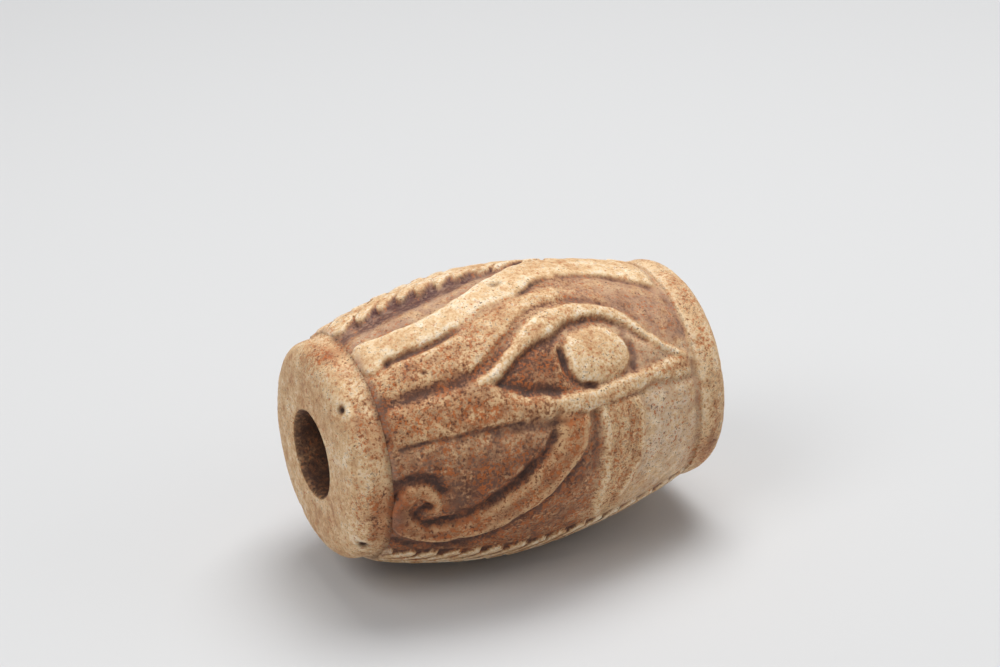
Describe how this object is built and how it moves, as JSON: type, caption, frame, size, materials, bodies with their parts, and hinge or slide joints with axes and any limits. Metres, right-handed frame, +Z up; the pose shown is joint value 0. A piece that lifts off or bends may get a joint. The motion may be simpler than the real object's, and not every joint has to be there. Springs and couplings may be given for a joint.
{
  "type": "eye bead",
  "caption": "Large barrel bead of soft stone with collared ends, a string hole from end to end, and a carved eye on each side between twisted rope borders.",
  "frame": {"origin": "middle of the string hole, on its axis at mid-length", "axes": "+X along the string hole towards the end with the longer collar, +Z up as the bead lies on its small flat spot, -Y out of the front eye"},
  "size_m": [0.04, 0.0284, 0.0279],
  "materials": {
    "stone": "matte"
  },
  "bodies": {
    "root": {"bead": "stone"}
  },
  "joints": []
}
